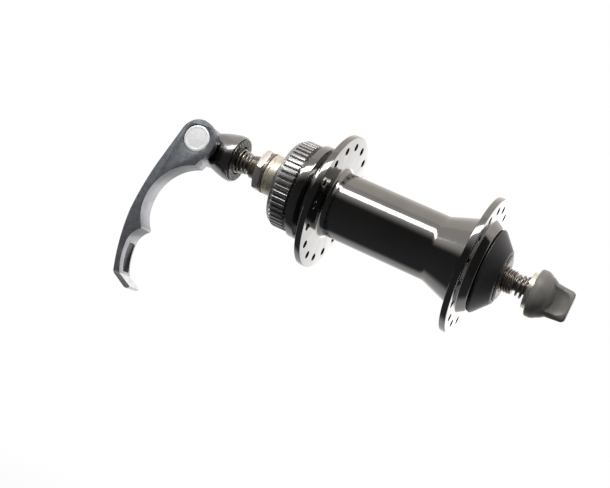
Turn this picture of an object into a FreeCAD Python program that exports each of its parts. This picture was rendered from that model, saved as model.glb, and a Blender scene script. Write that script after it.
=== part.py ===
"""Front bicycle hub for a splined brake disc, with its quick-release skewer.

Millimetres. Y runs along the axle, from the lever end to the nut end, and the origin
is midway between the locknut faces. Z is up, and the closed lever hangs down at -Z.
"""
import FreeCAD, Part
import math
import os

from FreeCAD import Vector

# Driving sizes of the hub
over_locknuts = 100.0        # fork spacing, between the outer faces of the locknuts
axle_stub = 4.0              # axle beyond each locknut
axle_r = 4.5                 # M9 thread
axle_bore_r = 2.75
thread_clearance = 0.04      # radial, between the axle and what is screwed on it

flange_r = 26.0
flange_thick = 2.4
left_flange_y = -19.7
right_flange_y = 38.3
rim_round = 0.5
tube_r = 12.5
tube_bore_r = 9.0
tube_fillet = 2.2

spokes_per_flange = 16
spoke_circle_r = 22.0
spoke_hole_r = 1.3
spoke_phase = 8.0            # degrees from +X to the first hole of the left flange

# Splined seat for the brake disc
spline_count = 48
spline_r = 17.2
spline_depth = 0.85
spline_end_y = -38.5
spline_length = 7.3
spline_chamfer = 1.1         # along the axle, nearly down to the flutes' roots
chamfer_share = 0.9          # of the flutes' depth
flute_root = 0.2             # width of a flute in shares of the splines' pitch
flute_mouth = 0.62
groove_width = 1.9
groove_r = 15.9
stop_r = 18.3
stop_width = 3.0
neck_r = 16.2
neck_width = 1.1
neck_flare_r = 21.2
spline_wall = 1.35           # left between the flutes and the lockring's thread
lockring_depth = 5.0
housing_recess = 0.5         # the bearing housing stops short of the spline's end

# Cone and boss at the nut end
cone_start_y = 23.4
cone_end_r = 17.0
boss_r = 18.1
boss_end_y = 42.7
boss_end_r = 16.2

# Bearings: a pressed cup, loose balls and a cone on each side
ball_count = 10
ball_r = 2.381               # 3/16 inch balls
race_gap = 0.05
ball_circle_r = 7.95
cup_r = 11.3
cup_back = 3.2               # from the balls' plane, inwards
cup_front = 2.2              # from the balls' plane, outwards
cup_mouth_r = 7.4
housing_wall = 1.2
cap_inset = 0.3              # dust cap behind the end of its housing
cap_depth = 1.4
cap_wall = 0.7
cap_gap = 0.4
cone_body_r = 8.2
cone_nose = 0.8
cone_flat = 7.0              # half width across the spanner flats
cone_flat_length = 2.2
cone_length = 7.5            # from the balls' plane, outwards
seal_gap = 0.25
seal_thick = 0.8
seal_r = 10.9
cap_back = 3.9               # dust cap's outer face from the balls' plane

# Axle hardware
washer_r = 7.9
left_washer_thick = 1.0
right_washer_thick = 1.1
washer_key = 1.2
left_nut_flats = 15.0
left_nut_thick = 2.9
right_nut_flats = 15.0
right_collar_r = 8.5
right_collar_thick = 0.8
spacer_r = 7.85
boot_gap = 0.4
boot_end_inset = 0.8
boot_end_r = 10.05
boot_wall = 1.6
boot_grip = 2.5

# Quick-release skewer
rod_r = 2.5
pivot_reach = 15.0           # from the acorn's toothed face to the cam's axis
left_gap = 5.4               # axle end to toothed face, lever end
right_gap = 5.2              # axle end to toothed face, nut end
throw = 0.8                  # the cam's offset
cam_r = 2.4
cam_clearance = 0.25         # in the rod's eye, which rides the cam
eye_slot = 0.75              # the eye is longer than wide, to let the cam pass
eye_wall = 1.2
eye_half_thick = 2.2
journal_r = 3.7
journal_clearance = 0.05
journal_inner = 2.7

acorn_r = 9.0
acorn_neck_r = 6.3
acorn_bulge = 0.33           # the flank stands out this far from a straight cone
acorn_barrel_r = 6.9
acorn_neck_y = 3.4           # from the cam's axis towards the hub
acorn_bore_r = 5.3
barrel_front = 8.5
barrel_back = 8.2
ring_r = 8.35
ring_depth = 2.6
ring_proud = 0.6
ring_recess_r = 5.6
ring_recess = 1.5
ring_teeth = 36
tooth_depth = 0.35
rod_clearance = 0.35

# Lever
lever_front = 12.0
arm_top_width = 8.8          # of the arm beside the acorn
arm_end_width = 10.3         # of the finger tab
lever_drop = 61.7            # from the cam's axis to the tip of the tab
lever_bow = 11.75            # how far the arm bows away from the fork
head_r = 7.3
head_y = 0.3                 # the head stands this far off the cam's axis
head_gap = 0.4
pocket_from_front = 3.4
pocket_width = 5.8
tab_slope = 1.5              # the tab's side leans back by this much at its tip
sweep_clear_r = 9.0          # the wide arm starts this far below the cam, to pass the acorn
barrel_clear_r = 7.1         # and this far where it only has to clear the barrel
cam_head_r = 5.05
cam_head_thick = 1.0
cam_head_gap = 0.15
shank_flat = 3.1
clip_thick = 0.6
clip_wall = 1.7
clip_groove = 0.5
clip_gap = 0.1

# Springs
wire_r = 0.4
spring_seat_gap = 0.15
spring_small_r = 3.45
left_spring_large_r = 4.9
left_spring_turns = 4.25
right_spring_large_r = 4.4
right_spring_turns = 3.25

# Adjusting nut
insert_r = 6.8
insert_thick = 2.4
insert_recess_r = 5.1
insert_recess = 1.2
insert_sleeve_r = 3.9
insert_length = 8.0
insert_teeth = 30
nut_face = 1.8               # the moulding starts this far behind the toothed face
nut_r = 8.9
skirt_length = 2.3
dome_length = 8.4
shoulder_r = 8.5
rod_end = 7.9                # rod's tip from the toothed face
rod_pocket = 2.6             # pocket left beyond the rod's tip
wing_reach = 15.8            # wing's outer edge from the toothed face
wing_root = 8.8
wing_root_half = 6.4
wing_end_half = 5.9
wing_half_thick = 1.9
wing_waist_swell = 0.25      # the wing's edge swells by this much beside the dome
wing_border = 1.3
wing_dish = 0.7
wing_corner = 1.6

# Places worked out from the sizes above
half_width = over_locknuts / 2
axle_half = half_width + axle_stub
screwed_r = axle_r + thread_clearance
lockring_bore_r = spline_r - spline_depth - spline_wall
left_ball_y = spline_end_y + housing_recess + cap_inset + cap_back
right_ball_y = boss_end_y - 2 * cap_inset - cap_back
race_r = ball_r + race_gap
acorn_face_y = -axle_half - left_gap
pivot_y = acorn_face_y - pivot_reach
insert_face_y = axle_half + right_gap
housing_r = cup_r + housing_wall
cam_hole_r = cam_r + cam_clearance
journal_bore_r = journal_r + journal_clearance

Y_AXIS = Vector(0, 1, 0)
X_AXIS = Vector(1, 0, 0)
ORIGIN = Vector(0, 0, 0)


def edges_through(steps, place):
    """Edges through (a, b) points; a pair of points in a step is an arc's middle and end."""
    edges = []
    here = place(*steps[0])
    for step in steps[1:] + steps[:1]:
        if isinstance(step[0], tuple):
            middle, end = place(*step[0]), place(*step[1])
            edges.append(Part.Arc(here, middle, end).toShape())
        else:
            end = place(*step)
            if here.distanceToPoint(end) > 1e-6:
                edges.append(Part.LineSegment(here, end).toShape())
        here = end
    return edges


def turned(steps):
    """A solid turned about the axle from an outline of (y, radius) steps."""
    wire = Part.Wire(edges_through(steps, lambda y, r: Vector(r, y, 0)))
    return Part.Face(wire).revolve(ORIGIN, Y_AXIS, 360)


def plate(steps, low_x, high_x):
    """A flat plate from an outline of (y, z) steps, between two stations along X."""
    wire = Part.Wire(edges_through(steps, lambda y, z: Vector(low_x, y, z)))
    return Part.Face(wire).extrude(Vector(high_x - low_x, 0, 0))


def disc(radius, low_y, high_y):
    """A cylinder about the axle."""
    return Part.makeCylinder(radius, high_y - low_y, Vector(0, low_y, 0), Y_AXIS)


def cross_pin(radius, low_x, high_x, y):
    """A cylinder along X whose axis crosses the skewer at y."""
    return Part.makeCylinder(radius, high_x - low_x, Vector(low_x, y, 0), X_AXIS)


def box(low, high):
    """A box from its lowest to its highest corner."""
    size = [h - l for l, h in zip(low, high)]
    return Part.makeBox(*size, Vector(*low))


def around(shape, count, phase=0.0):
    """Copies of a shape, evenly spaced about the axle."""
    copies = []
    for index in range(count):
        copy = shape.copy()
        copy.rotate(ORIGIN, Y_AXIS, -phase - index * 360.0 / count)
        copies.append(copy)
    return copies


def save(shape, node):
    """Writes one sub-part and says what it is made of."""
    shape.exportStep("parts/" + node + ".step")
    print(node, len(shape.Solids), "solid(s)", round(shape.Volume, 1), "mm3")


# Hub shell
def shell_blank():
    """The forged shell, turned inside and out, before its flutes and holes."""
    spline_root_y = spline_end_y + spline_length
    stop_y = spline_root_y + groove_width
    stop_end = stop_y + stop_width
    left_face = left_flange_y - flange_thick / 2
    left_inner = left_flange_y + flange_thick / 2
    right_inner = right_flange_y - flange_thick / 2
    right_face = right_flange_y + flange_thick / 2
    neck_start = stop_end + (stop_r - neck_r) * 0.6
    neck_end = neck_start + neck_width
    fillet_turn = tube_fillet * (1 - math.sqrt(0.5))
    housing_end = spline_end_y + housing_recess
    floor_y = spline_end_y + lockring_depth
    return turned([
        (spline_end_y, lockring_bore_r),
        (spline_end_y, spline_r - spline_depth * chamfer_share),
        (spline_end_y + spline_chamfer, spline_r),
        (spline_root_y, spline_r),
        (spline_root_y, groove_r),
        (stop_y, groove_r),
        (stop_y, stop_r - rim_round / 2),
        (stop_y + rim_round / 2, stop_r),
        (stop_end - rim_round / 2, stop_r),
        (stop_end, stop_r - rim_round / 2),
        (neck_start, neck_r),
        (neck_end, neck_r),
        ((neck_end + (left_face - neck_end) * 0.72, neck_r + (neck_flare_r - neck_r) * 0.38),
         (left_face, neck_flare_r)),
        (left_face, flange_r - rim_round),
        (left_face + rim_round, flange_r),
        (left_inner - rim_round, flange_r),
        (left_inner, flange_r - rim_round),
        (left_inner, tube_r + tube_fillet),
        ((left_inner + fillet_turn, tube_r + fillet_turn), (left_inner + tube_fillet, tube_r)),
        (cone_start_y, tube_r),
        (right_inner - tube_fillet / 2, cone_end_r),
        (right_inner, cone_end_r + tube_fillet / 2),
        (right_inner, flange_r - rim_round),
        (right_inner + rim_round, flange_r),
        (right_face - rim_round, flange_r),
        (right_face, flange_r - rim_round),
        (right_face, boss_r),
        (boss_end_y - rim_round, boss_end_r + rim_round / 2),
        (boss_end_y, boss_end_r),
        (boss_end_y, cup_r),
        (right_ball_y - cup_back, cup_r),
        (right_ball_y - cup_back, tube_bore_r),
        (left_ball_y + cup_back, tube_bore_r),
        (left_ball_y + cup_back, cup_r),
        (housing_end, cup_r),
        (housing_end, housing_r),
        (floor_y, housing_r),
        (floor_y, lockring_bore_r),
    ])


def spline_flutes():
    """The V grooves between the splines, open at the shell's end."""
    pitch = 2 * math.pi * spline_r / spline_count
    past = 0.1
    slant = (flute_mouth - flute_root) / 2 * pitch / spline_depth
    outer = spline_r + past
    root = spline_r - spline_depth
    root_half = flute_root / 2 * pitch
    mouth_half = root_half + slant * (outer - root)
    low = spline_end_y - 1.0
    corners = [
        Vector(root, low, -root_half),
        Vector(root, low, root_half),
        Vector(outer, low, mouth_half),
        Vector(outer, low, -mouth_half),
    ]
    flute = Part.Face(Part.makePolygon(corners + corners[:1]))
    flute = flute.extrude(Vector(0, spline_length + 1.0, 0))
    return around(flute, spline_count, 180.0 / spline_count)


def spoke_holes(flange_y, phase):
    """The spoke holes of one flange."""
    low = Vector(spoke_circle_r, flange_y - flange_thick, 0)
    hole = Part.makeCylinder(spoke_hole_r, 2 * flange_thick, low, Y_AXIS)
    return around(hole, spokes_per_flange, phase)


def hub_shell():
    step = 180.0 / spokes_per_flange
    cuts = spline_flutes()
    cuts += spoke_holes(left_flange_y, spoke_phase)
    cuts += spoke_holes(right_flange_y, spoke_phase + step)
    return shell_blank().cut(Part.makeCompound(cuts))


# Bearings, drawn for the nut end with the balls' plane at y = 0, outwards along +Y
def placed(shape, left):
    """Moves a bearing piece to its side of the hub, turned about for the lever end."""
    if left:
        shape = shape.mirror(ORIGIN, Y_AXIS)
        shape.translate(Vector(0, left_ball_y, 0))
    else:
        shape.translate(Vector(0, right_ball_y, 0))
    return shape


def cup():
    """The pressed steel cup, with its race round the outer and inner quarter of the balls."""
    drop = ball_circle_r - cup_mouth_r
    mouth = math.sqrt(race_r ** 2 - drop ** 2)
    slant = race_r * math.sqrt(0.5)
    return turned([
        (cup_front, cup_r),
        (-cup_back, cup_r),
        (-cup_back, cup_mouth_r),
        (-mouth, cup_mouth_r),
        ((-slant, ball_circle_r + slant), (0, ball_circle_r + race_r)),
        (cup_front, ball_circle_r + race_r),
    ])


def bearing_cone(length):
    """The screwed cone: its race, body and spanner flats."""
    slant = race_r * math.sqrt(0.5)
    nose_r = ball_circle_r - race_r
    body = turned([
        (-cone_nose, screwed_r),
        (-cone_nose, nose_r),
        (0, nose_r),
        ((slant, ball_circle_r - slant), (race_r, ball_circle_r)),
        (race_r, cone_body_r),
        (length, cone_body_r),
        (length, screwed_r),
    ])
    start = length - cone_flat_length
    for side in (-1, 1):
        far = side * 2 * cone_body_r
        low_x, high_x = sorted((side * cone_flat, far))
        reach = 2 * cone_body_r
        body = body.cut(box((low_x, start, -reach), (high_x, length + 1, reach)))
    return body


def balls():
    """The loose balls of one bearing."""
    ball = Part.makeSphere(ball_r, Vector(ball_circle_r, 0, 0), Y_AXIS)
    return Part.makeCompound(around(ball, ball_count))


def dust_cap():
    """The pressed ring that closes the housing round the cone."""
    front = cap_back
    back = front - cap_depth
    return turned([
        (back, cup_r),
        (front, cup_r),
        (front, cone_body_r + cap_gap),
        (front - cap_wall, cone_body_r + cap_gap),
        (front - cap_wall, cup_r - cap_wall),
        (back, cup_r - cap_wall),
    ])


def seal():
    """The rubber washer that turns with the cone in front of the dust cap."""
    start = cap_back + seal_gap
    return turned([
        (start, cone_body_r),
        (start, seal_r - seal_thick / 2),
        (start + seal_thick / 2, seal_r),
        (start + seal_thick, seal_r - seal_thick / 2),
        (start + seal_thick, cone_body_r),
    ])


# Axle and what is screwed on it
def axle():
    """The hollow axle, chamfered at both ends."""
    chamfer = 0.5
    return turned([
        (-axle_half, axle_bore_r),
        (-axle_half, axle_r - chamfer),
        (-axle_half + chamfer, axle_r),
        (axle_half - chamfer, axle_r),
        (axle_half, axle_r - chamfer),
        (axle_half, axle_bore_r),
    ])


def keyed_washer(low_y, high_y):
    """A washer whose key drops into the axle's slot, here kept just clear of the thread."""
    ring = disc(washer_r, low_y, high_y).cut(disc(screwed_r + 0.1, low_y - 1, high_y + 1))
    notch = box((-washer_key / 2, low_y - 1, washer_r - 1), (washer_key / 2, high_y + 1, washer_r + 1))
    return ring.cut(notch)


def hex_blank(flats, low_y, high_y):
    """A hexagonal bar with its corners turned off at both ends, one flat square to +Z."""
    corner_r = flats / math.sqrt(3)
    points = []
    for index in range(6):
        angle = math.radians(60 * index)
        points.append(Vector(corner_r * math.cos(angle), low_y, corner_r * math.sin(angle)))
    bar = Part.Face(Part.makePolygon(points + points[:1])).extrude(Vector(0, high_y - low_y, 0))
    cap = (corner_r - flats / 2) * 0.6
    return bar.common(turned([
        (low_y, 0),
        (low_y, flats / 2 - 0.1),
        (low_y + cap, corner_r + 0.1),
        (high_y - cap, corner_r + 0.1),
        (high_y, flats / 2 - 0.1),
        (high_y, 0),
    ]))


def left_locknut():
    nut = hex_blank(left_nut_flats, -half_width, -half_width + left_nut_thick)
    return nut.cut(disc(screwed_r, -half_width - 1, -half_width + left_nut_thick + 1))


def right_locknut():
    """A hexagon inside the boot and a round collar at the fork end."""
    low = right_ball_y + cone_length - 1 + right_washer_thick
    collar_y = half_width - right_collar_thick
    nut = hex_blank(right_nut_flats, low, collar_y)
    nut = nut.fuse(disc(right_collar_r, collar_y, half_width)).removeSplitter()
    return nut.cut(disc(screwed_r, low - 1, half_width + 1))


def left_spacer():
    low = -half_width + left_nut_thick + left_washer_thick
    high = left_ball_y - cone_length
    chamfer = 0.4
    return turned([
        (low, screwed_r),
        (low, spacer_r - chamfer),
        (low + chamfer, spacer_r),
        (high - chamfer, spacer_r),
        (high, spacer_r - chamfer),
        (high, screwed_r),
    ])


def right_boot():
    """The rubber cone that grips the locknut and hides the bearing."""
    big_y = boss_end_y + boot_gap
    end_y = half_width - boot_end_inset
    grip_r = right_nut_flats / math.sqrt(3) + 0.1
    grip_y = end_y - boot_grip
    big_r = boss_end_r - 0.1
    slope = (big_r - boot_end_r) / (end_y - big_y)
    inner_r = big_r - slope * (grip_y - big_y) - boot_wall
    return turned([
        (big_y, big_r - boot_wall),
        (big_y, big_r - 0.3),
        (big_y + 0.3, big_r),
        (end_y - 0.8, boot_end_r + slope * 0.6),
        ((end_y - 0.2, boot_end_r - 0.1), (end_y, boot_end_r - 0.7)),
        (end_y, grip_r),
        (grip_y, grip_r),
        (grip_y, inner_r),
    ])


# Skewer
def skewer_rod():
    """The rod, from its slotted eye in the acorn to its tip in the nut."""
    eye_y = pivot_y - throw
    tip_y = insert_face_y + rod_end
    outer = cam_hole_r + eye_wall
    hole = slot_outline(cam_hole_r, eye_y)
    eye = plate(slot_outline(outer, eye_y), -eye_half_thick, eye_half_thick)
    chamfer = 0.5
    shank = turned([
        (eye_y + cam_hole_r + eye_wall / 2, 0),
        (eye_y + cam_hole_r + eye_wall / 2, rod_r),
        (tip_y - chamfer, rod_r),
        (tip_y, rod_r - chamfer),
        (tip_y, 0),
    ])
    rod = eye.fuse(shank).removeSplitter()
    return rod.cut(plate(hole, -eye_half_thick - 1, eye_half_thick + 1))


def slot_outline(radius, y):
    """A slot along Z with round ends, centred on the skewer at y."""
    return [
        (y - radius, -eye_slot),
        ((y, -eye_slot - radius), (y + radius, -eye_slot)),
        (y + radius, eye_slot),
        ((y, eye_slot + radius), (y - radius, eye_slot)),
    ]


def acorn_body():
    """The cam housing: a cup towards the fork, a neck and a cross barrel with a round end."""
    rim_y = acorn_face_y - ring_proud
    seat_y = acorn_face_y - ring_depth
    neck_y = pivot_y + acorn_neck_y
    flank_r = (acorn_r + acorn_neck_r) / 2 + acorn_bulge
    round_y = pivot_y - 0.3
    slant = acorn_barrel_r * math.sqrt(0.5)
    body = turned([
        (rim_y, 0),
        (rim_y, acorn_r - 0.25),
        (rim_y - 0.25, acorn_r),
        (seat_y, acorn_r),
        (((seat_y + neck_y) / 2, flank_r), (neck_y, acorn_neck_r)),
        (round_y, acorn_barrel_r),
        ((round_y - slant, slant), (round_y - acorn_barrel_r, 0)),
    ])
    body = body.fuse(cross_pin(acorn_barrel_r, -barrel_back, barrel_front, pivot_y))
    cavity_y = pivot_y - throw
    cavity = disc(acorn_bore_r, cavity_y, rim_y + 1)
    cavity = cavity.fuse(Part.makeSphere(acorn_bore_r, Vector(0, cavity_y, 0)))
    cavity = cavity.fuse(disc(ring_r, seat_y, rim_y + 1))
    body = body.cut(cavity)
    return body.cut(cross_pin(journal_bore_r, -barrel_back - 1, barrel_front + 1, pivot_y))


def radial_teeth(count, face_y, depth, side, inner, outer):
    """V notches cut across an annular face that looks along side."""
    half = math.pi * outer / count * 0.8
    tips = [
        Vector(inner - 1, face_y - side * depth, 0),
        Vector(inner - 1, face_y + side * depth, half),
        Vector(inner - 1, face_y + side * depth, -half),
    ]
    notch = Part.Face(Part.makePolygon(tips + tips[:1])).extrude(Vector(outer - inner + 2, 0, 0))
    return around(notch, count)


def grip_ring():
    """The toothed steel ring in the acorn, recessed for the spring."""
    back_y = acorn_face_y - ring_depth
    floor_y = acorn_face_y - ring_recess
    ring = turned([
        (back_y, rod_r + rod_clearance),
        (back_y, ring_r),
        (acorn_face_y, ring_r),
        (acorn_face_y, ring_recess_r),
        (floor_y, ring_recess_r),
        (floor_y, rod_r + rod_clearance),
    ])
    teeth = radial_teeth(ring_teeth, acorn_face_y, tooth_depth, 1, ring_recess_r, ring_r)
    return ring.cut(Part.makeCompound(teeth))


def flattened(shape, half, low_x, high_x):
    """Keeps a cross pin between two flats over part of its length."""
    reach = 4 * half
    for side in (-1, 1):
        low_z, high_z = sorted((side * half, side * reach))
        shape = shape.cut(box((low_x, pivot_y - reach, low_z), (high_x, pivot_y + reach, high_z)))
    return shape


def cam_shaft():
    """The cam: two journals, the offset between them, and a head let into the lever."""
    head_x = lever_front - cam_head_thick
    plate_x = barrel_front + head_gap
    end_x = -barrel_back - clip_gap - clip_thick - clip_groove
    journals = cross_pin(journal_r, journal_inner, head_x, pivot_y)
    journals = flattened(journals, shank_flat, plate_x, head_x)
    journals = journals.fuse(cross_pin(journal_r, end_x, -journal_inner, pivot_y))
    cam = cross_pin(cam_r, -journal_inner, journal_inner, pivot_y - throw)
    head = cross_pin(cam_head_r, head_x, lever_front, pivot_y)
    shaft = journals.fuse([cam, head])
    groove_x = -barrel_back - clip_gap - clip_thick
    groove = cross_pin(journal_r + 1, groove_x, groove_x + clip_thick, pivot_y)
    groove = groove.cut(cross_pin(journal_r - clip_groove, groove_x - 1, groove_x + 2, pivot_y))
    return shaft.cut(groove)


def cam_clip():
    """The spring clip in the groove of the cam's far end, open on one side."""
    low_x = -barrel_back - clip_gap - clip_thick
    inner = journal_r - clip_groove
    ring = cross_pin(inner + clip_wall, low_x, low_x + clip_thick, pivot_y)
    ring = ring.cut(cross_pin(inner, low_x - 1, low_x + clip_thick + 1, pivot_y))
    mouth = inner * 0.75
    reach = inner + clip_wall + 1
    gap = box((low_x - 1, pivot_y - mouth, 0), (low_x + clip_thick + 1, pivot_y + mouth, reach))
    return ring.cut(gap)


def arm_point(bow, drop):
    """A point of the arm, in shares of its bow and its drop from the cam's axis."""
    return (pivot_y + bow * lever_bow, -drop * lever_drop)


def lever_outline():
    """The lever seen along the cam's axis: its head, outer edge, tab, nose and inner edge."""
    head = pivot_y + head_y
    start = (head - head_r * 0.97, head_r * 0.24)
    return [
        start,
        arm_point(-0.825, 0.209),
        (arm_point(-0.975, 0.43), arm_point(-1.0, 0.56)),
        (arm_point(-0.85, 0.77), arm_point(-0.62, 0.926)),
        (arm_point(-0.587, 0.942), arm_point(-0.51, 0.955)),
        arm_point(-0.1, 0.997),
        (arm_point(0.03, 1.0), arm_point(0.13, 0.982)),
        arm_point(-0.375, 0.934),
        (arm_point(-0.596, 0.817), arm_point(-0.638, 0.742)),
        (arm_point(-0.587, 0.69), arm_point(-0.417, 0.645)),
        (arm_point(-0.374, 0.632), arm_point(-0.4, 0.621)),
        (arm_point(-0.655, 0.533), arm_point(-0.715, 0.447)),
        (arm_point(-0.425, 0.269), arm_point(0.357, 0.156)),
        (head + head_r * 0.70, -head_r * 0.9),
        ((head + head_r, 0), (head, head_r)),
        ((head - head_r * 0.71, head_r * 0.71), start),
    ]


def finger_pocket():
    """The shallow recess in the inner edge of the arm, above the tab."""
    low_x = lever_front - pocket_from_front - pocket_width
    return plate([
        arm_point(0, 0.735),
        arm_point(-0.655, 0.74),
        (arm_point(-0.665, 0.8), arm_point(-0.53, 0.92)),
        arm_point(0, 0.92),
    ], low_x, low_x + pocket_width)


def lever():
    """The forged lever: a thin head beside the acorn and a wide hooked arm with a finger tab."""
    back_x = lever_front - arm_end_width
    top_x = lever_front - arm_top_width
    plate_x = barrel_front + head_gap
    steps = lever_outline()
    arm = plate(steps, back_x, lever_front)
    taper = Part.Face(Part.makePolygon([
        Vector(back_x - 1, pivot_y - lever_drop, -lever_drop - 1),
        Vector(back_x, pivot_y - lever_drop, -lever_drop),
        Vector(top_x, pivot_y - lever_drop, -sweep_clear_r),
        Vector(top_x, pivot_y - lever_drop, head_r + 1),
        Vector(back_x - 1, pivot_y - lever_drop, head_r + 1),
        Vector(back_x - 1, pivot_y - lever_drop, -lever_drop - 1),
    ]))
    arm = arm.cut(taper.extrude(Vector(0, 2 * lever_drop, 0)))
    front_y = pivot_y + head_r * 0.2
    behind = box((back_x - 1, pivot_y - 2 * head_r, -sweep_clear_r), (plate_x, front_y, 2 * head_r))
    ahead = box((back_x - 1, front_y, -barrel_clear_r), (plate_x, pivot_y + 2 * head_r, 2 * head_r))
    arm = arm.cut(behind).cut(ahead)
    arm = arm.cut(finger_pocket())
    tab_z = arm_point(0, 0.935)[1]
    side = Part.Face(Part.makePolygon([
        Vector(lever_front + 1, pivot_y - lever_drop, tab_z),
        Vector(lever_front, pivot_y - lever_drop, tab_z),
        Vector(lever_front - tab_slope, pivot_y - lever_drop, -lever_drop - 1),
        Vector(lever_front + 1, pivot_y - lever_drop, -lever_drop - 1),
        Vector(lever_front + 1, pivot_y - lever_drop, tab_z),
    ]))
    arm = arm.cut(side.extrude(Vector(0, 2 * lever_drop, 0)))
    hole = flattened(cross_pin(journal_bore_r, plate_x - 1, lever_front, pivot_y),
                     shank_flat + journal_clearance, plate_x - 2, lever_front + 1)
    head_x = lever_front - cam_head_thick
    arm = arm.cut(hole)
    return arm.cut(cross_pin(cam_head_r + cam_head_gap, head_x, lever_front + 1, pivot_y))


# Springs
def biarc(start, start_dir, end, end_dir):
    """Two arcs that leave one point and reach another along given directions."""
    chord = end - start
    both = start_dir + end_dir
    a = both.dot(both) - 4
    b = -2 * chord.dot(both)
    c = chord.dot(chord)
    if abs(a) < 1e-9:
        reach = -c / b
    else:
        reach = (-b - math.sqrt(b * b - 4 * a * c)) / (2 * a)
    near = start + start_dir * reach
    far = end - end_dir * reach
    joint = (near + far) * 0.5
    return [rounded_corner(start, near, joint), rounded_corner(joint, far, end)]


def rounded_corner(start, corner, end):
    """The arc that touches both equal legs of a corner at their ends."""
    centre_line = (start + end) * 0.5
    half = (end - start).Length / 2
    leg = (corner - start).Length
    rise = (corner - centre_line).Length
    middle = centre_line + (corner - centre_line) * (half / (leg + half))
    return Part.Arc(start, middle, end).toShape()


def coil_point(small_y, large_y, large_r, turns, share):
    """A point of the spring's centre line, and its direction, at a share of its length."""
    angle = 2 * math.pi * turns * share
    spread = large_r - spring_small_r
    radius = spring_small_r + spread * share
    along = small_y + (large_y - small_y) * share
    point = Vector(radius * math.cos(angle), along, radius * math.sin(angle))
    turn = 2 * math.pi * turns
    heading = Vector(
        spread * math.cos(angle) - radius * turn * math.sin(angle),
        large_y - small_y,
        spread * math.sin(angle) + radius * turn * math.cos(angle))
    return point, heading.normalize()


def conical_spring(small_y, large_y, large_r, turns, name):
    """A spring that widens from the axle's end to its seat, one unbroken tube of wire."""
    pieces = round(turns * 4)
    edges = []
    for index in range(pieces):
        start, start_dir = coil_point(small_y, large_y, large_r, turns, index / pieces)
        end, end_dir = coil_point(small_y, large_y, large_r, turns, (index + 1) / pieces)
        edges += biarc(start, start_dir, end, end_dir)
    path = Part.Wire(edges)
    start, heading = coil_point(small_y, large_y, large_r, turns, 0)
    ring = Part.Wire([Part.Circle(start, heading, wire_r).toShape()])
    shell = Part.BRepOffsetAPI.MakePipeShell(path)
    shell.add(ring)
    shell.build()
    shell.makeSolid()
    spring = shell.shape()
    volume = math.pi * wire_r ** 2 * path.Length
    print(name, "least gap to itself", round(least_gap(small_y, large_y, large_r, turns), 2), "mm,",
          "volume over wire volume", round(spring.Volume / volume, 3))
    return spring


def least_gap(small_y, large_y, large_r, turns):
    """The least distance between neighbouring turns, measured on points, less the wire."""
    per_turn = 48
    count = int(turns * per_turn)
    points = [coil_point(small_y, large_y, large_r, turns, i / count)[0] for i in range(count + 1)]
    least = large_r
    for index, point in enumerate(points):
        for other in points[index + per_turn // 2:]:
            least = min(least, point.distanceToPoint(other) - 2 * wire_r)
    return least


def left_spring():
    seat_y = acorn_face_y - ring_recess
    inset = wire_r + spring_seat_gap
    return conical_spring(-axle_half - inset, seat_y + inset, left_spring_large_r,
                          left_spring_turns, "left_spring")


def right_spring():
    seat_y = insert_face_y + insert_recess
    inset = wire_r + spring_seat_gap
    return conical_spring(axle_half + inset, seat_y - inset, right_spring_large_r,
                          right_spring_turns, "right_spring")


# Adjusting nut
def nut_insert():
    """The toothed and threaded steel insert, recessed for its spring."""
    face = insert_face_y
    bore_r = rod_r + thread_clearance
    insert = turned([
        (face, insert_recess_r),
        (face, insert_r),
        (face + insert_thick, insert_r),
        (face + insert_thick, insert_sleeve_r),
        (face + insert_length, insert_sleeve_r),
        (face + insert_length, bore_r),
        (face + insert_recess, bore_r),
        (face + insert_recess, insert_recess_r),
    ])
    teeth = radial_teeth(insert_teeth, face, tooth_depth, -1, insert_recess_r, insert_r)
    return insert.cut(Part.makeCompound(teeth))


def nut_body():
    """The moulded nut: a dome on a skirt, and a dished wing to turn it by."""
    face = insert_face_y
    base = face + nut_face
    skirt_y = base + skirt_length
    top = base + dome_length
    dome = turned([
        (base, 0),
        (base, nut_r - 0.5),
        (base + 0.5, nut_r),
        (skirt_y, nut_r),
        ((skirt_y + dome_length * 0.28, nut_r * 0.77), (skirt_y + dome_length * 0.52, nut_r * 0.52)),
        ((skirt_y + dome_length * 0.67, nut_r * 0.29), (top, 0)),
    ])
    corner = wing_corner * (1 - math.sqrt(0.5))
    end = face + wing_reach
    root = face + wing_root
    waist_y = skirt_y + (root - skirt_y) * 0.55
    waist_half = (shoulder_r + wing_root_half) / 2 + wing_waist_swell
    wing = plate([
        (skirt_y, -shoulder_r),
        (skirt_y, shoulder_r),
        ((waist_y, waist_half), (root, wing_root_half)),
        (end - wing_corner, wing_end_half),
        ((end - corner, wing_end_half - corner), (end, wing_end_half - wing_corner)),
        (end, -wing_end_half + wing_corner),
        ((end - corner, -wing_end_half + corner), (end - wing_corner, -wing_end_half)),
        (root, -wing_root_half),
        ((waist_y, -waist_half), (skirt_y, -shoulder_r)),
    ], -wing_half_thick, wing_half_thick)
    floor = wing_half_thick - wing_dish
    for side in (-1, 1):
        low_x, high_x = sorted((side * floor, side * (wing_half_thick + 1)))
        wing = wing.cut(plate([
            (base + 1.0, -wing_root_half + wing_border),
            (base + 1.0, wing_root_half - wing_border),
            (root, wing_root_half - wing_border),
            (end - wing_border, wing_end_half - wing_border),
            (end - wing_border, -wing_end_half + wing_border),
            (root, -wing_root_half + wing_border),
        ], low_x, high_x))
    body = dome.fuse(wing)
    body = body.cut(disc(insert_r, base - 1, face + insert_thick))
    body = body.cut(disc(insert_sleeve_r, base - 1, face + insert_length))
    return body.cut(disc(rod_r + rod_clearance, base - 1, face + rod_end + rod_pocket))


os.makedirs("parts", exist_ok=True)
left_washer_y = -half_width + left_nut_thick
right_washer_y = right_ball_y + cone_length - 1

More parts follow.
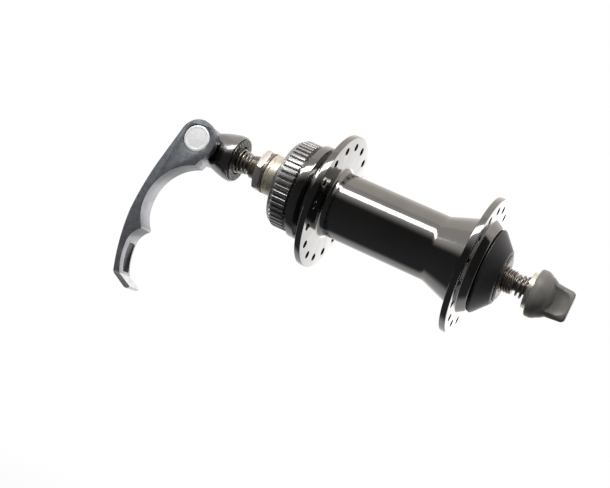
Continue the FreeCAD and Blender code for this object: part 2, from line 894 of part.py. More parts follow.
save(hub_shell(), "hub_shell")
save(placed(cup(), True), "left_cup")
save(placed(cup(), False), "right_cup")
save(placed(balls(), True), "left_balls")
save(placed(balls(), False), "right_balls")
save(placed(dust_cap(), True), "left_dust_cap")
save(placed(dust_cap(), False), "right_dust_cap")
save(placed(bearing_cone(cone_length), True), "left_cone")
save(placed(bearing_cone(cone_length - 1), False), "right_cone")
save(placed(seal(), True), "left_seal")
save(placed(seal(), False), "right_seal")
save(axle(), "axle")
save(left_spacer(), "left_spacer")
save(keyed_washer(left_washer_y, left_washer_y + left_washer_thick), "left_washer")
save(keyed_washer(right_washer_y, right_washer_y + right_washer_thick), "right_washer")
save(left_locknut(), "left_locknut")
save(right_locknut(), "right_locknut")
save(right_boot(), "right_boot")
save(skewer_rod(), "skewer_rod")
save(acorn_body(), "acorn_body")
save(grip_ring(), "grip_ring")
save(cam_shaft(), "cam_shaft")
save(cam_clip(), "cam_clip")
save(lever(), "lever")
save(left_spring(), "left_spring")
save(right_spring(), "right_spring")
save(nut_insert(), "nut_insert")
save(nut_body(), "nut_body")
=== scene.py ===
import bmesh
import bpy
import math
from mathutils import Matrix, Vector


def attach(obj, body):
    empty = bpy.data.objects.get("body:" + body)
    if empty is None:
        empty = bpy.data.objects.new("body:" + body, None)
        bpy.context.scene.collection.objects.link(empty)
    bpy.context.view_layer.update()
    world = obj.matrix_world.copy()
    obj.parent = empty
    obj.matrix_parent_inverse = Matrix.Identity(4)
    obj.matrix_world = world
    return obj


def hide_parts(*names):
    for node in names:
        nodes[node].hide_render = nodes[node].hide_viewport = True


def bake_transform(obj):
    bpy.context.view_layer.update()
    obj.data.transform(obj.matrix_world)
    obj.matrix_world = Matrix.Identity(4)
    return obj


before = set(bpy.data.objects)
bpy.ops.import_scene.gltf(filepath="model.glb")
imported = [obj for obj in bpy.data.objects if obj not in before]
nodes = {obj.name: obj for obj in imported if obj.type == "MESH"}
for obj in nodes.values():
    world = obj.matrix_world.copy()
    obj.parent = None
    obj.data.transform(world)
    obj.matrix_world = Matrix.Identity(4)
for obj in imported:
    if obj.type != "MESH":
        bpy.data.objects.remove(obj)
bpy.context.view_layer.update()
mm = 0.001
print("frame loaded,", len(nodes), "nodes")


# Colours and nodes
def linearColour(hexText):
    values = [int(hexText[i:i + 2], 16) / 255 for i in (1, 3, 5)]
    return [v / 12.92 if v <= 0.04045 else ((v + 0.055) / 1.055) ** 2.4 for v in values] + [1.0]


def addNode(tree, kind, settings=None, values=None, links=None):
    node = tree.nodes.new(kind)
    for name, value in (settings or {}).items():
        setattr(node, name, value)
    for socket, value in (values or {}).items():
        node.inputs[socket].default_value = value
    for socket, source in (links or {}).items():
        tree.links.new(source, node.inputs[socket])
    return node


def blankMaterial(name):
    material = bpy.data.materials.new(name)
    material.use_nodes = True
    material.node_tree.nodes.clear()
    return material, material.node_tree


driftSpan, grainSpan = (0.35, 0.65), (0.3, 0.7)  # where most values of the broad and the fine noise lie


def surfaceMaterial(name, look):
    # Colour drifts between two hexes, roughness wanders, and lines or grain stand up in the bump
    material, tree = blankMaterial(name)
    shader = addNode(tree, "ShaderNodeBsdfPrincipled", None, {"Metallic": look["metallic"]})
    addNode(tree, "ShaderNodeOutputMaterial", links={"Surface": shader.outputs[0]})
    if "specular" in look:  # how strongly a moulding's skin shines
        shader.inputs["Specular IOR Level"].default_value = look["specular"]
    place = addNode(tree, "ShaderNodeTexCoord").outputs["Object"]
    vector = place
    if look.get("pattern") == "turned":  # the same all round the axle, as a lathe leaves it
        parts = addNode(tree, "ShaderNodeSeparateXYZ", links={0: place})
        flat = addNode(tree, "ShaderNodeCombineXYZ",
                       links={"X": parts.outputs["X"], "Y": parts.outputs["Z"]})
        reach = addNode(tree, "ShaderNodeVectorMath", {"operation": "LENGTH"}, links={0: flat.outputs[0]})
        rings = addNode(tree, "ShaderNodeCombineXYZ",
                        links={"X": reach.outputs["Value"], "Y": parts.outputs["Y"]})
        vector = rings.outputs[0]
    elif look.get("pattern") == "brushed":  # drawn out along Y and Z, fine across X
        stretch = addNode(tree, "ShaderNodeVectorMath", {"operation": "MULTIPLY"},
                          {1: (1.0, 0.06, 0.06)}, {0: place})
        vector = stretch.outputs[0]
    fine = addNode(tree, "ShaderNodeTexNoise", None,
                   {"Scale": 1 / (look["grainMm"] * mm), "Detail": 3.0, "Roughness": 0.6}, {"Vector": vector})
    broad = addNode(tree, "ShaderNodeTexNoise", None,
                    {"Scale": 1 / (look["driftMm"] * mm), "Detail": 4.0, "Roughness": 0.55}, {"Vector": place})
    spread = addNode(tree, "ShaderNodeMapRange", None, {1: driftSpan[0], 2: driftSpan[1]}, {0: broad.outputs[0]})
    mix = addNode(tree, "ShaderNodeMix", {"data_type": "RGBA"},  # sockets 6 and 7 are its two colours
                  {6: linearColour(look["colour"]), 7: linearColour(look["drift"])}, {0: spread.outputs[0]})
    low, high = look["roughness"]
    rough = addNode(tree, "ShaderNodeMapRange", None,
                    {1: grainSpan[0], 2: grainSpan[1], 3: low, 4: high}, {0: fine.outputs[0]})
    bump = addNode(tree, "ShaderNodeBump", None,
                   {"Strength": look["bump"], "Distance": look["depthMm"] * mm}, {"Height": fine.outputs[0]})
    tree.links.new(mix.outputs[2], shader.inputs["Base Color"])
    tree.links.new(rough.outputs[0], shader.inputs["Roughness"])
    tree.links.new(bump.outputs[0], shader.inputs["Normal"])
    return material


finishes = {
    # Forged aluminium, turned, polished and anodised black: a dark mirror with a warm cast and lathe lines
    "blackAnodisedAluminium": {
        "metallic": 1.0, "colour": "#72706E", "drift": "#797673", "roughness": (0.08, 0.13),
        "pattern": "turned", "grainMm": 0.35, "driftMm": 9.0, "bump": 0.25, "depthMm": 0.004},
    # The same black where splines were cut through it: the anodising lies matt on cutter marks
    "broachedAluminium": {
        "metallic": 0.9, "colour": "#9C9A99", "drift": "#92908F", "roughness": (0.34, 0.38),
        "grainMm": 0.8, "driftMm": 3.0, "bump": 0.02, "depthMm": 0.003},
    # Cast aluminium under gloss black lacquer: a deep dark gloss that is smooth at any distance
    "blackLacqueredAluminium": {
        "metallic": 1.0, "colour": "#83807F", "drift": "#7A7877", "roughness": (0.17, 0.23),
        "grainMm": 0.8, "driftMm": 6.0, "bump": 0.12, "depthMm": 0.004},
    # Forged aluminium, shot blasted and anodised grey black: a soft dull sheen full of fine specks
    "blastedAluminium": {
        "metallic": 0.75, "colour": "#75787C", "drift": "#62656A", "roughness": (0.36, 0.5),
        "grainMm": 0.35, "driftMm": 1.6, "bump": 0.6, "depthMm": 0.04},
    # The same forging where a cutter has bared it: mid grey metal with fine strokes along the edge
    "milledAluminium": {
        "metallic": 1.0, "colour": "#808084", "drift": "#747477", "roughness": (0.3, 0.44),
        "pattern": "brushed", "grainMm": 0.25, "driftMm": 4.0, "bump": 0.4, "depthMm": 0.012},
    # The same metal painted nearly white: a painted highlight for the light the lever's tab catches
    "paintedHighlightAluminium": {
        "metallic": 0.8, "colour": "#F0F0F1", "drift": "#DEDEE0", "roughness": (0.3, 0.42),
        "grainMm": 0.3, "driftMm": 2.0, "bump": 0.3, "depthMm": 0.012},
    # The skin a forging keeps where nothing was cut: nearly black, uneven and matt
    "forgedSkin": {
        "metallic": 0.4, "colour": "#2C2D30", "drift": "#4A4A4C", "roughness": (0.4, 0.6),
        "grainMm": 0.5, "driftMm": 1.4, "bump": 0.8, "depthMm": 0.06},
    # Steel with dull nickel: warm silver that scatters light, with faint lathe rings
    "nickelPlatedSteel": {
        "metallic": 0.75, "colour": "#C8C3BD", "drift": "#B7B2AD", "roughness": (0.3, 0.4),
        "pattern": "turned", "grainMm": 0.18, "driftMm": 3.0, "bump": 0.25, "depthMm": 0.006},
    # Steel with yellowish zinc: cream coloured and a little cloudy
    "zincPlatedSteel": {
        "metallic": 0.65, "colour": "#CDC6B4", "drift": "#B8B1A1", "roughness": (0.36, 0.46),
        "pattern": "turned", "grainMm": 0.2, "driftMm": 2.0, "bump": 0.25, "depthMm": 0.006},
    # Hardened steel, ground: neutral and almost a mirror
    "groundSteel": {
        "metallic": 1.0, "colour": "#BEBEC0", "drift": "#B4B4B7", "roughness": (0.08, 0.16),
        "pattern": "turned", "grainMm": 0.1, "driftMm": 3.0, "bump": 0.15, "depthMm": 0.003},
    # Rolled and dark plated steel thread: dull flanks with worn bright crests
    "rolledSteel": {
        "metallic": 0.8, "colour": "#857D74", "drift": "#6F6861", "roughness": (0.3, 0.42),
        "grainMm": 0.25, "driftMm": 1.5, "bump": 0.3, "depthMm": 0.008},
    # Steel browned by its plating bath: a soft dull collar
    "oxidisedSteel": {
        "metallic": 0.8, "colour": "#6B665F", "drift": "#57534D", "roughness": (0.36, 0.5),
        "pattern": "turned", "grainMm": 0.2, "driftMm": 2.0, "bump": 0.25, "depthMm": 0.006},
    # Drawn spring wire: silver with lengthwise die marks too fine to part, so drawn as a soft grain
    "drawnWire": {
        "metallic": 0.85, "colour": "#8F8A82", "drift": "#7A756E", "roughness": (0.28, 0.4),
        "grainMm": 0.2, "driftMm": 1.2, "bump": 0.2, "depthMm": 0.005},
    # Hardened toothed steel with a thin plating: dull dark grey
    "toothedSteel": {
        "metallic": 1.0, "colour": "#504D4A", "drift": "#45433F", "roughness": (0.26, 0.42),
        "grainMm": 0.25, "driftMm": 1.0, "bump": 0.35, "depthMm": 0.012},
    # Pressed and toothed steel, zinc plated: pale with a yellow cast, mottled
    "pressedSteel": {
        "metallic": 0.85, "colour": "#D6D2C4", "drift": "#BBB7A9", "roughness": (0.22, 0.34),
        "grainMm": 0.25, "driftMm": 1.0, "bump": 0.35, "depthMm": 0.012},
    # Steel tumbled and satin chromed, drawn as a near-white matt paint: silver white, almost chalky, a painted
    # reflection of bright surroundings with soft patches of painted reflection
    "satinChromePaintedReflection": {
        "metallic": 0.1, "colour": "#FCFCFC", "drift": "#F0F0F1", "roughness": (0.4, 0.5),
        "grainMm": 0.3, "driftMm": 1.5, "bump": 0.3, "depthMm": 0.01},
    # Glass filled nylon, moulded: dark grey, satin, with a faint spark texture
    "mouldedNylon": {
        "metallic": 0.0, "specular": 0.25, "colour": "#85827D", "drift": "#7B7873", "roughness": (0.34, 0.44),
        "grainMm": 0.22, "driftMm": 4.0, "bump": 0.25, "depthMm": 0.01},
    # Moulded rubber: nearly black with a violet cast and a soft wide sheen
    "mouldedRubber": {
        "metallic": 0.0, "specular": 0.4, "colour": "#262427", "drift": "#201E21", "roughness": (0.4, 0.52),
        "grainMm": 0.3, "driftMm": 4.0, "bump": 0.25, "depthMm": 0.01},
}
materials = {name: surfaceMaterial(name, look) for name, look in finishes.items()}
print("materials made,", len(materials))


# Outlines and meshes, in millimetres until they become a mesh
def arcPoints(first, middle, last, steps):
    (ax, ay), (bx, by), (cx, cy) = first, middle, last
    scale = 2 * (ax * (by - cy) + bx * (cy - ay) + cx * (ay - by))
    a, b, c = ax * ax + ay * ay, bx * bx + by * by, cx * cx + cy * cy
    centreX = (a * (by - cy) + b * (cy - ay) + c * (ay - by)) / scale
    centreY = (a * (cx - bx) + b * (ax - cx) + c * (bx - ax)) / scale
    radius = math.hypot(ax - centreX, ay - centreY)
    start = math.atan2(ay - centreY, ax - centreX)
    viaTurn = (math.atan2(by - centreY, bx - centreX) - start) % math.tau
    turn = (math.atan2(cy - centreY, cx - centreX) - start) % math.tau
    if viaTurn > turn:
        turn -= math.tau
    angles = [start + turn * k / steps for k in range(1, steps + 1)]
    return [(centreX + radius * math.cos(t), centreY + radius * math.sin(t)) for t in angles]


def flatOutline(steps, arcSteps=12):
    # A step is a point, or an arc's middle and end
    points = [steps[0]]
    for step in steps[1:]:
        if isinstance(step[0], tuple):
            points += arcPoints(points[-1], step[0], step[1], arcSteps)
        else:
            points.append(step)
    if math.dist(points[0], points[-1]) < 1e-6:  # the last step came back to the first point
        points.pop()
    return points


def softened(points, radius, steps=3):
    # Rounds every real corner of a closed outline, apart from those on the turning axis
    straight, most = math.radians(158), 0.4  # a flatter corner stays; a cut takes no more of a side
    result = []
    for index, corner in enumerate(points):
        here = Vector(corner)
        back = Vector(points[index - 1]) - here
        ahead = Vector(points[(index + 1) % len(points)]) - here
        if corner[1] == 0 or back.angle(ahead) > straight:
            result.append(corner)
            continue
        cut = min(radius, back.length * most, ahead.length * most)
        start, end = here + back.normalized() * cut, here + ahead.normalized() * cut
        for k in range(steps + 1):
            t = k / steps
            result.append(tuple(start * (1 - t) ** 2 + here * 2 * t * (1 - t) + end * t * t))
    return result


def newPiece(name, verts, faces):
    mesh = bpy.data.meshes.new(name)
    mesh.from_pydata([[v * mm for v in point] for point in verts], [], faces)
    work = bmesh.new()
    work.from_mesh(mesh)
    bmesh.ops.remove_doubles(work, verts=work.verts, dist=1e-7)
    bmesh.ops.recalc_face_normals(work, faces=work.faces)
    work.to_mesh(mesh)
    work.free()
    piece = bpy.data.objects.new(name, mesh)
    bpy.context.scene.collection.objects.link(piece)
    return piece


def skinFaces(rings, sides):
    # Quads between rings of points, and both ends closed
    faces = [tuple(range(sides)), tuple(range(rings * sides - 1, (rings - 1) * sides - 1, -1))]
    for base in range(0, (rings - 1) * sides, sides):
        faces += [(base + k, base + (k + 1) % sides, base + sides + (k + 1) % sides, base + sides + k)
                  for k in range(sides)]
    return faces


def wrapFaces(columns, rows, closed=True):
    # Quads between columns of points all the way round; closed joins each last row to the first
    faces = []
    for k in range(columns):
        here, there = k * rows, (k + 1) % columns * rows
        faces += [(here + i, here + (i + 1) % rows, there + (i + 1) % rows, there + i)
                  for i in range(rows if closed else rows - 1)]
    return faces


def turnedPiece(name, loop, segments=144, crossAt=None):
    # Turned about the axle, or about a line along X that crosses it at crossAt
    verts = []
    for s in range(segments):
        angle = 2 * math.pi * s / segments
        across, up = math.cos(angle), math.sin(angle)
        for along, r in loop:
            if crossAt is None:
                verts.append((r * across, along, r * up))
            else:
                verts.append((along, crossAt + r * across, r * up))
    return newPiece(name, verts, wrapFaces(segments, len(loop)))


def platePiece(name, outline, lowX, highX):
    # An outline of (y, z) with its thickness along X
    verts = [(x, y, z) for x in (lowX, highX) for y, z in outline]
    return newPiece(name, verts, skinFaces(2, len(outline)))


def barPiece(name, outline, lowY, highY):
    # An outline of (z, x) drawn out along the axle
    verts = [(x, y, z) for y in (lowY, highY) for z, x in outline]
    return newPiece(name, verts, skinFaces(2, len(outline)))


def baked(piece):
    # Applies the piece's modifiers
    bpy.context.view_layer.update()
    graph = bpy.context.evaluated_depsgraph_get()
    mesh = bpy.data.meshes.new_from_object(piece.evaluated_get(graph))
    piece.modifiers.clear()
    piece.data = mesh
    return piece


def bevelled(piece, width, segments, angle=30):
    # Rounds every edge that is sharper than the angle, in degrees
    bevel = piece.modifiers.new("edge", "BEVEL")
    bevel.width = width * mm
    bevel.segments = segments
    bevel.limit_method = "ANGLE"
    bevel.angle_limit = math.radians(angle)
    return baked(piece)


def combined(piece, tool, how="DIFFERENCE"):
    modifier = piece.modifiers.new("combine", "BOOLEAN")
    modifier.operation = how
    modifier.solver = "EXACT"
    modifier.material_mode = "TRANSFER"
    modifier.object = tool
    baked(piece)
    bpy.data.objects.remove(tool)
    return piece


def joined(name, parts):
    # One cutter made of several meshes
    verts, faces = [], []
    for part in parts:
        base = len(verts)
        verts += [[c / mm for c in v.co] for v in part.data.vertices]
        faces += [[base + i for i in p.vertices] for p in part.data.polygons]
        bpy.data.objects.remove(part)
    return newPiece(name, verts, faces)


def dressed(piece, body, finish, standsFor=(), sharp=32):
    if finish:
        piece.data.materials.clear()
        piece.data.materials.append(materials[finish])
    for polygon in piece.data.polygons:
        polygon.use_smooth = True
    piece.data.set_sharp_from_angle(angle=math.radians(sharp))
    if body:
        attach(piece, body)
    if standsFor:
        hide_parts(*standsFor)
    return piece


# Hub shell: turned body and splined ring
shell = {
    "flangeR": 26.0, "flangeThick": 2.4, "leftY": -19.7, "rightY": 38.3,
    "tubeR": 12.5, "fillet": 2.2, "edge": 0.28, "holeR": 1.42, "holeMouth": 0.15, "holeCircle": 22.0, "holes": 16, "phase": 8.0,
    "splines": 48, "splineR": 17.2, "splineDepth": 0.85, "splineLow": -38.5, "splineHigh": -31.2,
    "neckR": 15.9, "seatLow": -29.3, "seatHigh": -26.3, "seatR": 18.3, "waistR": 16.2,
    "bossEnd": 42.7, "bossR": 15.95, "boreR": 9.0, "housingR": 11.3, "leftHousing": -30.6, "rightHousing": 35.0,
    "cupMouth": -38.0, "wellR": 12.5, "wellEnd": -33.5, "mouthR": 15.0,
}


def shellOutline(s):
    half = s["flangeThick"] / 2
    leftFace, leftInner = s["leftY"] - half, s["leftY"] + half
    rightInner, rightFace = s["rightY"] - half, s["rightY"] + half
    r, tube, fillet = s["flangeR"], s["tubeR"], s["fillet"]
    turn = fillet * (1 - math.sqrt(0.5))
    return [
        # Neck, disc seat and waist, up to the left flange
        (s["splineHigh"], s["neckR"]), (s["seatLow"], s["neckR"]), (s["seatLow"], s["seatR"]),
        (s["seatHigh"], s["seatR"]), (-25.04, s["waistR"]), (-23.94, s["waistR"]),
        ((-21.75, 18.1), (leftFace, 21.2)), (leftFace, r), (leftInner, r), (leftInner, tube + fillet),
        # Tube, and the cone that widens to the right flange
        ((leftInner + turn, tube + turn), (leftInner + fillet, tube)), (22.4, tube),
        ((23.45, tube + 0.09), (24.45, tube + 0.37)), (rightInner - fillet / 2, 17.0),
        (rightInner, 17.0 + fillet / 2), (rightInner, r), (rightFace, r),
        # Right boss, and back inside through both bearing housings
        (rightFace, 18.1), (42.2, 16.45), (s["bossEnd"], s["bossR"]), (s["bossEnd"], s["housingR"]),
        (s["rightHousing"], s["housingR"]), (s["rightHousing"], s["boreR"]), (s["leftHousing"], s["boreR"]),
        (s["leftHousing"], s["housingR"]), (s["cupMouth"], s["housingR"]), (s["cupMouth"], s["wellR"]),
        (s["wellEnd"], s["wellR"]), (s["wellEnd"], s["mouthR"]), (s["splineLow"], s["mouthR"]),
    ]


def spokeCutters(s):
    # Each hole is open wide beyond both faces of its flange, which leaves it a countersunk mouth
    half, mouth, r, beyond = s["flangeThick"] / 2, s["holeMouth"], s["holeR"], 0.6
    profile = [(-half - beyond, r + mouth + beyond), (-half + mouth, r), (half - mouth, r),
               (half + beyond, r + mouth + beyond)]
    sides, cutters = 28, []
    for flangeY, phase in ((s["leftY"], s["phase"]), (s["rightY"], s["phase"] + 180 / s["holes"])):
        for index in range(s["holes"]):
            angle = math.radians(phase + 360 * index / s["holes"])
            x, z = s["holeCircle"] * math.cos(angle), s["holeCircle"] * math.sin(angle)
            verts = []
            for y, radius in profile:
                turns = [math.tau * k / sides for k in range(sides)]
                verts += [(x + radius * math.cos(t), flangeY + y, z + radius * math.sin(t)) for t in turns]
            cutters.append(newPiece("spokeCutter", verts, skinFaces(len(profile), sides)))
    return joined("spokeCutters", cutters)


def splineRing(s):
    pitch = math.tau / s["splines"]
    top, root = s["splineR"], s["splineR"] - s["splineDepth"]
    # One rib from groove to groove: share of the pitch and radius
    rib = [(-0.5, root), (-0.35, root), (-0.27, top - 0.16), (-0.21, top - 0.03), (0.0, top + 0.03),
           (0.21, top - 0.03), (0.27, top - 0.16), (0.35, root)]
    low, high = s["splineLow"], s["splineHigh"]
    # A smooth band first, then the ribs rise out of it with rounded ends
    stations = [(low, s["mouthR"]), (low, root - 0.5), (low + 0.2, root - 0.28), (low + 1.1, root - 0.04),
                (low + 1.3, root + 0.08), (low + 1.5, top - 0.3), (low + 1.8, top - 0.04), (low + 2.0, top + 0.1),
                (high - 0.15, top + 0.1), (high, top - 0.05), (high, s["neckR"])]
    verts = []
    columns = s["splines"] * len(rib)
    for k in range(columns):
        share, r = rib[k % len(rib)]
        angle = (k // len(rib) + share) * pitch
        for y, most in stations:
            radius = min(r, most)
            verts.append((radius * math.cos(angle), y, radius * math.sin(angle)))
    return newPiece("splineRing", verts, wrapFaces(columns, len(stations), closed=False))


def threadRadius(y, pitch, root, height):
    # A function of the angle; the power under 1 makes the crests full
    return lambda angle: root + height * (1 - abs(((y / pitch + angle / math.tau) % 1.0) * 2 - 1)) ** 0.85


def threadRows(low, high, root, crest, pitch, runOut, perPitch=8):
    # Rows of (y, function of angle) for a real helix that runs out at both ends
    count = round((high - low) / pitch * perPitch)
    rows = []
    for k in range(count + 1):
        y = low + (high - low) * k / count
        taper = min(1.0, (y - low) / runOut, (high - y) / runOut)
        rows.append((y, threadRadius(y, pitch, root, (crest - root) * taper)))
    return rows


def helixPiece(name, rows, columns=72):
    # Rows hold y and a radius, or a function of the angle that gives it; the last row joins the first
    verts = []
    for k in range(columns):
        angle = math.tau * k / columns
        for y, r in rows:
            radius = r(angle) if callable(r) else r
            verts.append((radius * math.cos(angle), y, radius * math.sin(angle)))
    return newPiece(name, verts, wrapFaces(columns, len(rows)))


shellBody = turnedPiece("hubShellBody", softened(flatOutline(shellOutline(shell)), shell["edge"]), 192)
combined(shellBody, spokeCutters(shell))
dressed(shellBody, "hub", "blackAnodisedAluminium", ["hub_shell"], 28)
dressed(splineRing(shell), "hub", "broachedAluminium", (), 24)

# Thread for the disc's lockring, in the mouth of the splined ring
lockring = {"low": -38.3, "high": -33.6, "root": 15.0, "crest": 14.5, "pitch": 1.0, "runOut": 0.8}
lockringBack = 15.3  # the thread's own back, just inside the ring
lockringRows = threadRows(**lockring) + [(lockring["high"], lockringBack), (lockring["low"], lockringBack)]
dressed(helixPiece("lockringThread", lockringRows, 96), "hub", "blackAnodisedAluminium")
print("hub shell made")


# Axle with its threaded ends
axle = {"r": 4.5, "root": 4.03, "bore": 2.75, "half": 54.0, "threadTo": 49.0, "pitch": 1.0, "runOut": 0.7,
        "chamfer": 0.3}


def axlePiece(a):
    half, inner, bore, chamfer = a["half"], a["threadTo"], a["bore"], a["chamfer"]
    rows = threadRows(-half, -inner, a["root"], a["r"], a["pitch"], a["runOut"])
    rows += threadRows(inner, half, a["root"], a["r"], a["pitch"], a["runOut"])
    rows += [(half, bore + chamfer), (half - chamfer, bore), (-half + chamfer, bore), (-half, bore + chamfer)]
    return helixPiece("threadedAxle", rows)


dressed(axlePiece(axle), "axle_set", "rolledSteel", ["axle"], 50)


# Locknut of the lever end, a hexagon with its corners turned off
locknut = {"flats": 15.0, "low": -50.0, "high": -47.1, "boreR": 4.54, "mouth": 0.45, "bevel": 0.12}


def hexPiece(n):
    low, high, boreR, mouth = n["low"], n["high"], n["boreR"], n["mouth"]
    corner, flat = n["flats"] / math.sqrt(3), n["flats"] / 2
    turns = [math.radians(60 * k) for k in range(6)]
    bar = barPiece("leftLocknut", [(corner * math.sin(t), corner * math.cos(t)) for t in turns], low, high)
    cap = (corner - flat) * 0.6
    cone = [(low, 0), (low, flat - 0.1), (low + cap, corner + 0.1), (high - cap, corner + 0.1),
            (high, flat - 0.1), (high, 0)]
    combined(bar, turnedPiece("cornerCutter", cone, 96), "INTERSECT")
    bore = [(low - 1, 0), (low - 1, boreR + mouth + 1), (low + mouth, boreR), (high - mouth, boreR),
            (high + 1, boreR + mouth + 1), (high + 1, 0)]
    combined(bar, turnedPiece("boreCutter", bore, 72))
    return bevelled(bar, n["bevel"], 2, 24)


dressed(hexPiece(locknut), "axle_set", "nickelPlatedSteel", ["left_locknut"], 26)

# Turned rings along the axle: finish, slot, node, edge radius and outline of (y, radius)
rings = {
    "leftWasher": ("rolledSteel", "plated_steel", "left_washer", 0.15,
                   [(-47.1, 4.6), (-47.1, 7.9), (-46.1, 7.9), (-46.1, 4.6)]),
    "leftSpacer": ("zincPlatedSteel", "zinc_spacer", "left_spacer", 0.2,
                   [(-46.1, 4.55), (-46.1, 7.45), (-45.7, 7.85), (-44.9, 7.85), (-44.75, 7.7),
                    (-44.5, 7.7), (-44.35, 7.85), (-41.7, 7.85), (-41.3, 7.45), (-41.3, 4.55)]),
    "rightCollar": ("oxidisedSteel", "plated_steel", "right_locknut", 0.16,
                    [(44.6, 4.55), (44.6, 7.4), (49.2, 7.4), (49.2, 8.5), (49.45, 8.5), (50.0, 7.7),
                     (50.0, 5.1), (49.5, 4.55)]),
    "rightBoot": ("mouldedRubber", "boot_rubber", "right_boot", 0.35,
                  [(43.1, 14.5), (43.1, 16.05), (43.9, 15.75), (48.5, 10.7), ((49.0, 10.1), (49.2, 9.35)),
                   (49.2, 8.76), (46.7, 8.76), (46.7, 10.6)]),
}
for name, (finish, slot, node, edge, outline) in rings.items():
    loop = softened(flatOutline(outline), edge)
    dressed(turnedPiece(name, loop), "axle_set", finish, [node], 30)
print("axle set made")


# Conical springs, swept along their helix
springs = {
    "leftSpring": {"smallY": -54.55, "largeY": -60.35, "largeR": 4.9, "turns": 4.25, "held": "axle_set",
                   "moving": "left_coil", "node": "left_spring"},
    "rightSpring": {"smallY": 54.55, "largeY": 59.85, "largeR": 4.4, "turns": 3.25, "held": "rod",
                    "moving": "right_coil", "node": "right_spring"},
}
wire = {"r": 0.4, "smallR": 3.45, "sides": 14, "perTurn": 56, "endShare": 0.82}


def springPiece(name, s):
    count, sides = round(s["turns"] * wire["perTurn"]), wire["sides"]
    length, wound = s["largeY"] - s["smallY"], math.tau * s["turns"]
    verts = []
    for k in range(count + 1):
        share = k / count
        angle = wound * share
        radius = wire["smallR"] + (s["largeR"] - wire["smallR"]) * share
        across, up = math.cos(angle), math.sin(angle)
        centre = Vector((radius * across, s["smallY"] + length * share, radius * up))
        outward = Vector((across, 0, up))
        heading = Vector((-radius * up, length / wound, radius * across))
        other = heading.normalized().cross(outward).normalized()
        small = wire["endShare"] if k in (0, count) else 1.0
        for j in range(sides):
            turn = math.tau * j / sides
            around = outward * math.cos(turn) + other * math.sin(turn)
            verts.append(tuple(centre + around * wire["r"] * small))
    return newPiece(name, verts, skinFaces(count + 1, sides))


for name, s in springs.items():
    piece = dressed(springPiece(name, s), None, "drawnWire", [s["node"]], 50)
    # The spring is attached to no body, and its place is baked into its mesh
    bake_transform(piece)
print("springs made")


# Acorn body: bell towards the fork, neck, round end and cross barrel
acorn = {"pivotY": -74.4, "faceY": -59.4, "r": 9.0, "neckR": 6.3, "barrelR": 6.9, "boreR": 5.3, "ringR": 8.35,
         "barrelFront": 8.5, "barrelBack": -8.2, "barrelEdge": 0.4, "journalR": 3.75, "edge": 0.2, "swell": 0.33}


def acornPiece(a):
    pivot, rim, seat, r, boreR = a["pivotY"], a["faceY"] - 0.6, a["faceY"] - 2.6, a["r"], a["boreR"]
    neck, low = pivot + 3.4, pivot - 0.3
    slant = a["barrelR"] * math.sqrt(0.5)
    cavity, curve = pivot - 0.8, boreR * math.sqrt(0.5)
    dome = ((cavity - curve, curve), (cavity, boreR))  # the hollow's round end
    steps = [
        (rim, a["ringR"]), (rim, r - 0.25), (rim - 0.25, r), (seat, r),
        (((seat + neck) / 2, (r + a["neckR"]) / 2 + a["swell"]), (neck, a["neckR"])), (low, a["barrelR"]),
        ((low - slant, slant), (low - a["barrelR"], 0)), (cavity - boreR, 0), dome, (seat, boreR),
        (seat, a["ringR"]),
    ]
    bell = turnedPiece("acornBell", softened(flatOutline(steps, 16), a["edge"]), 160)
    front, back, barrelR = a["barrelFront"], a["barrelBack"], a["barrelR"]
    barrelLoop = softened([(back, 0), (back, barrelR), (front, barrelR), (front, 0)], a["barrelEdge"])
    combined(bell, turnedPiece("barrel", barrelLoop, 128, pivot), "UNION")
    hollow = [(cavity - boreR, 0), dome, (seat + 0.5, boreR), (seat + 0.5, 0)]
    combined(bell, turnedPiece("hollow", flatOutline(hollow), 96))
    bore, wide = a["journalR"], a["journalR"] + 1.3
    mouth = [(back - 1, 0), (back - 1, wide), (back + 0.3, bore), (front - 0.3, bore), (front + 1, wide),
             (front + 1, 0)]
    return combined(bell, turnedPiece("journalBore", mouth, 72, pivot))


dressed(acornPiece(acorn), "acorn", "blackLacqueredAluminium", ["acorn_body"], 30)

# Cam: two journals, the offset between them and the head let into the lever
cam = {"pivotY": -74.4, "throw": 0.8, "camR": 2.4, "journalR": 3.7, "inner": 2.7, "headX": 11.0, "front": 12.0,
       "headR": 5.05, "end": -9.4, "grooveR": 3.2}
inner, journal, groove = cam["inner"], cam["journalR"], cam["grooveR"]
camHead = softened([(inner, 0), (inner, journal), (cam["headX"], journal), (cam["headX"], cam["headR"]),
                    (11.75, cam["headR"]), (11.95, 4.3), (11.85, 3.9), (11.9, 3.3), (cam["front"], 0)], 0.16)
camEnd = softened([(cam["end"], 0), (cam["end"], 3.4), (-9.1, journal), (-8.9, journal), (-8.9, groove),
                   (-8.3, groove), (-8.3, journal), (-inner, journal), (-inner, 0)], 0.1)
camLobe = [(-inner, 0), (-inner, cam["camR"]), (inner, cam["camR"]), (inner, 0)]
lobeY = cam["pivotY"] - cam["throw"]
# The cam head's near-white chrome is a painted reflection of bright surroundings
for name, loop, segments, centreY, finish, standsFor in (
        ("camHead", camHead, 96, cam["pivotY"], "satinChromePaintedReflection", ["cam_shaft"]),
        ("camEnd", camEnd, 72, cam["pivotY"], "groundSteel", ()),
        ("camLobe", camLobe, 72, lobeY, "groundSteel", ())):
    dressed(turnedPiece(name, loop, segments, centreY), "lever_arm", finish, standsFor, 40)
print("acorn and cam made")


